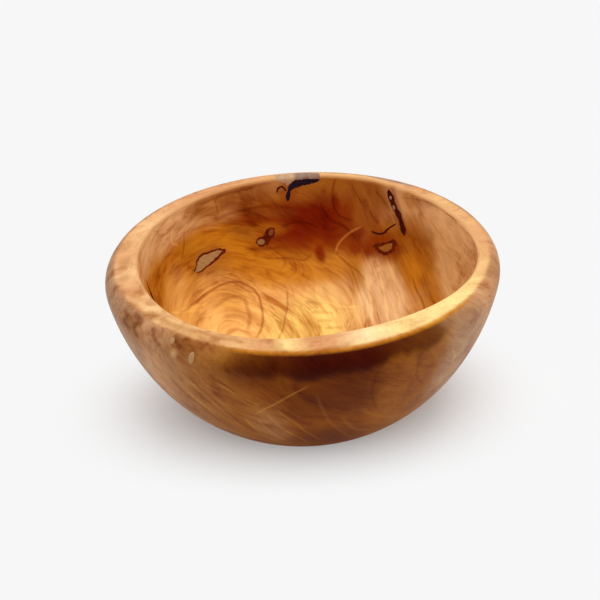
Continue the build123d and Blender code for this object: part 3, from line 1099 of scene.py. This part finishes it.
def lens(outline_points, proud_by):
    """A closed outline, nibbled by two small waves, is drawn in to its middle by a share u, first over
    the top and then underneath. Returns flat places, with u as their third part, and lifts."""
    outline = smooth_path([*outline_points, outline_points[0]], 8)[:-1]
    middle = outline.mean(axis=0)
    around = np.linspace(0, 2 * math.pi, len(outline), endpoint=False)[:, None]
    nibbled = 1 + 0.035 * np.sin(7 * around + len(outline)) + 0.03 * np.sin(13 * around)
    outline = middle + (outline - middle) * nibbled
    share = np.linspace(0, 1, lens_rings) ** 0.7
    top = proud_by - (proud_by + edge_drop) * share**8
    shares = np.concatenate([share, share[-2::-1]])[:, None]
    lifts = np.concatenate([top, np.full(lens_rings - 1, -rooted)])[:, None]
    x = middle[0] + (outline[None, :, 0] - middle[0]) * shares
    y = middle[1] + (outline[None, :, 1] - middle[1]) * shares
    flat = np.stack([x, y, shares + 0 * x], axis=-1)
    return flat, lifts + 0 * x


def ribbon(points_and_widths, proud_by, count=9, across_way=None, root=rooted):
    """A section carried along a smooth path: place = path + across x half width, and two small waves
    along it nibble the width. Each row of the list is x, y and the half width there. The ends are
    drawn to a point."""
    rows = smooth_path(points_and_widths, 6)
    heading = np.gradient(rows[:, :2], axis=0)
    heading /= np.linalg.norm(heading, axis=1)[:, None]
    sideways = np.stack([-heading[:, 1], heading[:, 0]], axis=-1)
    if across_way is not None:
        sideways = np.broadcast_to(across_way, sideways.shape)
    across, lifts = section(count, proud_by, root)
    way = np.arange(len(rows))
    nibbled = 1.12 + 0.10 * np.sin(0.7 * way) + 0.08 * np.sin(1.9 * way + 1)
    widths = np.maximum(rows[:, 2] * nibbled, 0.02)[:, None, None]
    flat_xy = rows[:, None, :2] + sideways[:, None] * across[None, :, None] * widths
    lift = np.broadcast_to(lifts, flat_xy.shape[:2]).copy()
    ends = [np.broadcast_to(flat_xy[i].mean(axis=0), flat_xy[i].shape) for i in (0, -1)]
    flat_xy = np.concatenate([ends[0][None], flat_xy, ends[1][None]])
    lift = np.concatenate([lift[:1] * 0 - root / 2, lift, lift[:1] * 0 - root / 2])
    share = np.broadcast_to(np.abs(across)[None], lift.shape)
    return np.concatenate([flat_xy, share[..., None]], axis=-1), lift


def oval_outline(centre, radii, turn):
    """Twelve points of an ellipse, turned by so many degrees."""
    angle = np.linspace(0, 2 * math.pi, 12, endpoint=False)
    u = radii[0] * np.cos(angle)
    v = radii[1] * np.sin(angle)
    tilt = math.radians(turn)
    x = centre[0] + u * math.cos(tilt) - v * math.sin(tilt)
    y = centre[1] + u * math.sin(tilt) + v * math.cos(tilt)
    return np.stack([x, y], axis=-1)


# %% [markdown]
# ## Bark, stub wood and filler
#
# Bark that a tree grows round is crumbly and drinks the oil, so it is a soft, nearly black red-brown, with
# paler flakes and an edge that frays into the wood. A stub is dry and matt: streaked along its length,
# specked, and darker where it meets its bark. The filler in the rim is glue with wood dust in it, cloudy,
# slightly speckled and a little smoother than the wood, and the drops in the seam are clearer.


# %% Finishes of the inlays
def bark_finish(name, low, high, fringe):
    """The tone times low, or times high where the noise of the flakes is high. Towards the edge, the
    share of the drawing near 1, it goes over to the fringe's colour."""
    bark = Finish(name)
    place_mm = bark.place_mm()
    flakes = bark.noise(place_mm, 1.7, 4, 0.7)
    share = bark.parts(bark.attribute("drawing"))[2]
    ground = bark.attribute("tone", "Color")
    between_flakes = bark.tinted(ground, low)
    colour = bark.blend(flakes.step(0.42, 0.72), between_flakes, bark.tinted(ground, high))
    frayed = (share + (flakes - 0.5) * 1.0).step(0.5, 1.0)
    colour = bark.blend(frayed * 0.9, colour, fringe)
    bark.surface(
        Specular__IOR__Level=0.05,
        Base__Color=colour,
        Roughness=0.55 + flakes * 0.3,
        Normal=bark.bump(flakes, 0.25, 0.8),
    )
    return bark


def stub_finish():
    """Dark streaks along the drawing's first axis, pale specks, and a darker edge."""
    stub = Finish("stub_wood_dry")
    place_mm = stub.place_mm()
    drawing = stub.attribute("drawing")
    share = stub.parts(drawing)[2]
    speck = stub.noise(place_mm, 1.6, 4, 0.65)
    streak = stub.noise(stub.stretched(drawing, (0.5, 2.2, 0)), 1.0, 3, 0.6)
    ground = stub.attribute("tone", "Color")
    streaked = stub.tinted(ground, (0.62, 0.50, 0.40))
    specked = stub.tinted(ground, (1.25, 1.3, 1.35))
    edged = stub.tinted(ground, (0.36, 0.22, 0.14))
    colour = stub.blend(streak.step(0.40, 0.66) * 0.6, ground, streaked)
    colour = stub.blend(speck.step(0.56, 0.72) * 0.6, colour, specked)
    colour = stub.blend(share.step(0.72, 1.0) * 0.8, colour, edged)
    stub.surface(
        Specular__IOR__Level=0.08,
        Base__Color=colour,
        Roughness=0.5 + speck * 0.2,
        Normal=stub.bump(streak, 0.12, 0.6),
    )
    return stub


def filler_finish(name, dust_strength):
    """The tone with cloudy patches and fine dust, both darker than it."""
    filler = Finish(name)
    place_mm = filler.place_mm()
    patchy = filler.noise(place_mm, 0.45, 3, 0.6)
    dust = filler.noise(place_mm, 3.5, 2, 0.6)
    ground = filler.attribute("tone", "Color")
    clouded = filler.tinted(ground, (0.70, 0.60, 0.52))
    dusted = filler.tinted(ground, (0.5, 0.42, 0.36))
    colour = filler.blend(patchy.step(0.35, 0.7) * 0.7, ground, clouded)
    colour = filler.blend(dust.step(0.55, 0.75) * dust_strength, colour, dusted)
    filler.surface(
        Specular__IOR__Level=0.03,
        Base__Color=colour,
        Roughness=0.36 + dust * 0.2,
        Normal=filler.bump(dust, 0.05, 0.5),
    )
    return filler


# %% The five finishes and their tones
red_fringe = (0.22, 0.035, 0.004, 1)
black_fringe = (0.10, 0.03, 0.02, 1)
red_bark = bark_finish("red_brown_bark_oiled", (0.5, 0.35, 0.3), (2.2, 2.0, 1.8), red_fringe)
black_bark = bark_finish("black_bark_oiled", (0.6, 0.6, 0.6), (1.8, 1.5, 1.5), black_fringe)
dry_stub = stub_finish()
pale_resin = filler_finish("cream_filler_resin", 0.5)
grey_resin = filler_finish("grey_filler_resin", 0.3)
bark_tone = (0.068, 0.010, 0.004)
ember_tone = (0.13, 0.014, 0.003)
soot_tone = (0.020, 0.010, 0.022)
driftwood_tone = (0.46, 0.26, 0.10)
twin_tone = (0.36, 0.17, 0.06)
healed_tone = (0.36, 0.13, 0.020)
stub_brown_tone = (0.25, 0.075, 0.018)
pin_tone = (0.48, 0.28, 0.12)
resin_tone = (0.55, 0.36, 0.21)
dusty_tone = (0.31, 0.20, 0.15)
drop_tone = (0.42, 0.24, 0.19)
inlay_finishes = (red_bark, black_bark, dry_stub, pale_resin, grey_resin)
print("finishes:", [finish.material.name for finish in inlay_finishes])


# %% Bark and stub wood let in
def let_in_bark(name, node, place, shape, tone):
    """A piece of red-brown bark."""
    let_in(name, "red_brown_bark", node, place, shape, tone, red_bark)


def let_in_stub(name, node, place, shape, tone):
    """A piece of stub wood."""
    let_in(name, "stub_wood", node, place, shape, tone, dry_stub)


# %% [markdown]
# ## The stubs in the hollow
#
# Each stub sits in its own bark. The bark is made as a bed, a lens with the outline of the whole knot, and
# the stub as a second lens that stands a little prouder in the middle of it.

# %% The long stub
long_place = on_wall(133.7, 26.3)
long_outline = [
    (-11.0, -0.6), (-9.4, 1.4), (-7.4, 4.0), (-4.6, 5.8), (0.4, 5.7), (6.6, 5.0),
    (11.4, 3.6), (10.6, 1.4), (4.4, -0.8), (-2.2, -2.0), (-8.0, -2.4),
]
long_middle = [
    (-9.8, -0.7), (-8.2, 1.2), (-6.4, 3.2), (-4.0, 4.7), (0.4, 4.6), (5.6, 4.2),
    (9.6, 3.2), (6.0, 1.2), (2.4, 0.0), (-2.6, -1.1), (-7.4, -1.6),
]
long_bed = lens(long_outline, bed_proud)
long_core = lens(long_middle, core_proud)
let_in_bark("long_stub_bark_bed", "long_stub_bark", long_place, long_bed, ember_tone)
let_in_stub("long_stub_core", "long_stub", long_place, long_core, driftwood_tone)

# %% The twin stubs
twin_place = on_wall(105.3, 24.0)
twin_outline = [
    (-6.5, -0.6), (-5.4, -2.8), (-3.0, -3.7), (-0.2, -3.1), (1.8, -1.0), (3.9, 0.6), (5.0, 2.8),
    (4.2, 5.6), (1.6, 5.9), (-0.6, 4.0), (-2.0, 2.0), (-5.0, 1.5),
]
twin_bed = lens(twin_outline, bed_proud)
let_in_bark("twin_bark_bed", "twin_bark", twin_place, twin_bed, ember_tone)
twin_cores = {
    "lower": ((-2.8, -0.5), (2.1, 1.5), -5, twin_tone),
    "upper": ((1.9, 2.7), (1.2, 1.9), -25, stub_brown_tone),
}
for twin, (centre, radii, turn, tone) in twin_cores.items():
    shape = lens(oval_outline(centre, radii, turn), core_proud)
    let_in_stub(f"{twin}_twin_core", f"{twin}_twin_stub", twin_place, shape, tone)

# %% The healed stub
healed_place = on_wall(52.8, 26.9)
healed_outline = [
    (-7.8, 0.2), (-6.4, 2.2), (-2.3, 3.6), (1.4, 5.6), (4.1, 7.2), (5.9, 5.4),
    (5.4, 1.9), (3.4, -0.7), (1.2, -2.2), (-1.5, -2.8), (-4.8, -1.6),
]
healed_middle = [
    (-4.6, 0.6), (-1.0, 2.8), (2.8, 4.8), (3.5, 2.6), (2.0, 0.4), (-0.2, -0.7), (-2.9, -0.5),
]
healed_bed = lens(healed_outline, bed_proud + healed_extra)
healed_core = lens(healed_middle, core_proud + healed_extra)
let_in_bark("healed_bark_bed", "healed_bark", healed_place, healed_bed, ember_tone)
let_in_stub("healed_core", "healed_stub", healed_place, healed_core, healed_tone)

# %% [markdown]
# ## Threads and seams of bark
#
# Where the tree folded bark into itself it shows as a dark ribbon. Each ribbon is a path across the wall
# with a half width at each of its points. The long seam on the right holds two small pale grey drops of
# resin filler.

# %% The long seam and its drops
seam_place = on_wall(50.6, 9.7)
seam_rows = [
    (-4.0, 8.4, 0.3), (-3.4, 7.0, 1.4), (-2.4, 5.2, 1.7), (-1.2, 2.8, 1.5), (0.2, 1.0, 1.3),
    (1.8, -0.8, 1.6), (3.0, -2.8, 1.2), (3.9, -4.5, 1.6), (4.9, -6.6, 1.5), (5.6, -8.4, 0.4),
]
seam = ribbon(seam_rows, seam_proud)
let_in_bark("bark_seam_ribbon", "bark_seam", seam_place, seam, bark_tone)
drops = {"upper": ((-2.7, 5.3), (0.75, 0.9), 0), "lower": ((-0.8, 1.7), (0.75, 1.1), 30)}
for drop, (centre, radii, turn) in drops.items():
    shape = lens(oval_outline(centre, radii, turn), drop_proud)
    node = f"{drop}_seam_filler"
    let_in(f"{drop}_resin_drop", "grey_filler", node, seam_place, shape, drop_tone, grey_resin)

# %% The thread and the splinter
thread_rows = [
    (-5.2, -0.5, 0.2), (-4.2, -0.9, 0.5), (-1.6, -1.0, 0.5),
    (0.6, 0.0, 0.6), (2.4, 2.2, 0.5), (5.6, 5.0, 0.3),
]
thread_place = on_wall(55.4, 19.6)
thread = ribbon(thread_rows, thread_proud)
let_in_bark("bark_thread_ribbon", "bark_thread", thread_place, thread, bark_tone)
splinter_rows = [(0.2, 5.4, 0.2), (0.3, 2.6, 0.5), (0.5, -0.8, 0.9), (0.7, -3.2, 0.9), (0.5, -4.9, 0.3)]
splinter_place = on_wall(177.2, 17.1)
splinter = ribbon(splinter_rows, thread_proud)
let_in_bark("bark_splinter_ribbon", "bark_splinter", splinter_place, splinter, bark_tone)

# %% [markdown]
# ## The mended gap in the rim
#
# At the back the rim had a gap with bark in it. The maker packed it with pale filler and turned the two
# together. The filler wraps over the top of the rim, so its ribbon runs along the rim and its section
# follows the skin from one side of the wall over the land to the other. A root of black bark stays below.
# The dust in the filler has turned its right half grey.

# %% The black bark
gap_place = on_wall(91.3, 4.7)
root_rows = [
    (9.0, 3.9, 0.4), (6.8, 3.5, 1.1), (3.8, 3.2, 1.5), (0.8, 2.8, 1.8), (-1.4, 2.1, 1.8),
    (-2.9, 0.8, 1.1), (-3.6, -0.9, 0.8), (-4.0, -2.6, 1.2), (-4.2, -4.4, 0.4),
]
root = ribbon(root_rows, root_proud)
let_in("rim_bark_root", "black_bark", "rim_bark", gap_place, root, soot_tone, black_bark)

# %% The filler
filler_edge = np.array([
    (-8.6, 4.6), (-7.6, 3.4), (-5.6, 3.2), (-4.6, 2.2), (-3.4, 1.5), (-2.2, 2.8), (0.5, 3.6), (9.2, 3.6),
])
filler_top = 11.2
filler_x, filler_low = filler_edge.T
filler_rows = np.stack([filler_x, (filler_low + filler_top) / 2, (filler_top - filler_low) / 2], axis=-1)
straight_up = np.array([0.0, 1.0])


def filler_tone(drawing):
    """Cream at the left, and dusty grey to the right of the tongue."""
    greyer = smooth(drawing[:, 0], -1.6, 0.4)
    return lay(np.broadcast_to(resin_tone, drawing.shape), dusty_tone, greyer)


filler_depth = 0.7
filler_cap = ribbon(filler_rows, cap_proud, 31, straight_up, filler_depth)
let_in("rim_filler_cap", "cream_filler", "rim_filler", gap_place, filler_cap, filler_tone, pale_resin)

# %% The arch of bark beside the gap
arch_rows = [
    (-2.0, 0.3, 0.2), (-1.7, 1.6, 0.5), (-1.0, 2.4, 0.5),
    (-0.2, 2.6, 0.45), (0.8, 2.1, 0.5), (1.6, 0.6, 0.3),
]
arch_place = on_wall(97.4, 5.4)
arch = ribbon(arch_rows, arch_proud)
let_in_bark("arch_bark_ribbon", "arch_bark", arch_place, arch, bark_tone)

# %% [markdown]
# ## Pin knots outside
#
# Two small knots stand on the left of the front, below the crease of the rim. They were cut across, so
# they show as pale ovals with a darker rim.

# %% Pin knots
pins = {
    "upper": (on_outside(-127.7, 62.4), (1.1, 1.3), 0),
    "lower": (on_outside(-120.8, 59.4), (1.2, 2.7), -12),
}
for pin, (place, radii, turn) in pins.items():
    shape = lens(oval_outline((0, 0), radii, turn), pin_proud)
    let_in_stub(f"{pin}_pin_core", f"{pin}_pin_knot", place, shape, pin_tone)

# %% [markdown]
# ## The floor
#
# The floor is the stage, not the bowl. To the camera it is a near-white ground: its own shade, which
# holds the bowl's soft shadow, is mixed with plain white light far from the bowl.

# %% Floor
floor_mesh = bpy.data.meshes.new("floor")
floor_reach = 3.0
corners = [(x * floor_reach, y * floor_reach, 0) for x, y in ((-1, -1), (1, -1), (1, 1), (-1, 1))]
floor_mesh.from_pydata(corners, [], [(0, 1, 2, 3)])
floor = bpy.data.objects.new("floor", floor_mesh)
scene.collection.objects.link(floor)
paper = Finish("white_paper")
paper_tone = (0.88, 0.88, 0.885, 1)
floor_place = paper.object_place()
paper_grain = paper.noise(floor_place, 600, 2, 0.5)
paper.surface(
    Base__Color=paper_tone,
    Roughness=0.9 + (paper_grain - 0.5) * 0.05,
    Specular__IOR__Level=0.0,
)
plain_white = paper.node("ShaderNodeEmission", {}, {"Color": paper_white, "Strength": 1.0})
shadow_reach = (0.070, 0.038)
in_reaches = paper.stretched(floor_place, (1 / shadow_reach[0], 1 / shadow_reach[1], 0))
from_bowl = paper.node("ShaderNodeVectorMath", {"operation": "LENGTH"}, {0: in_reaches}, "Value")
looked_at = paper.node("ShaderNodeLightPath", {}, {}, "Is Camera Ray")
far_share = from_bowl.step(0.35, 1.6) * looked_at
shaded = Link(paper, paper.shader.outputs["BSDF"])
paper_mix = paper.node("ShaderNodeMixShader", {}, {0: far_share, 1: shaded, 2: plain_white})
paper.plug(paper.tree.nodes["Material Output"].inputs["Surface"], paper_mix)
paper.cover(floor)
print("floor", round(2 * floor_reach), "m across")
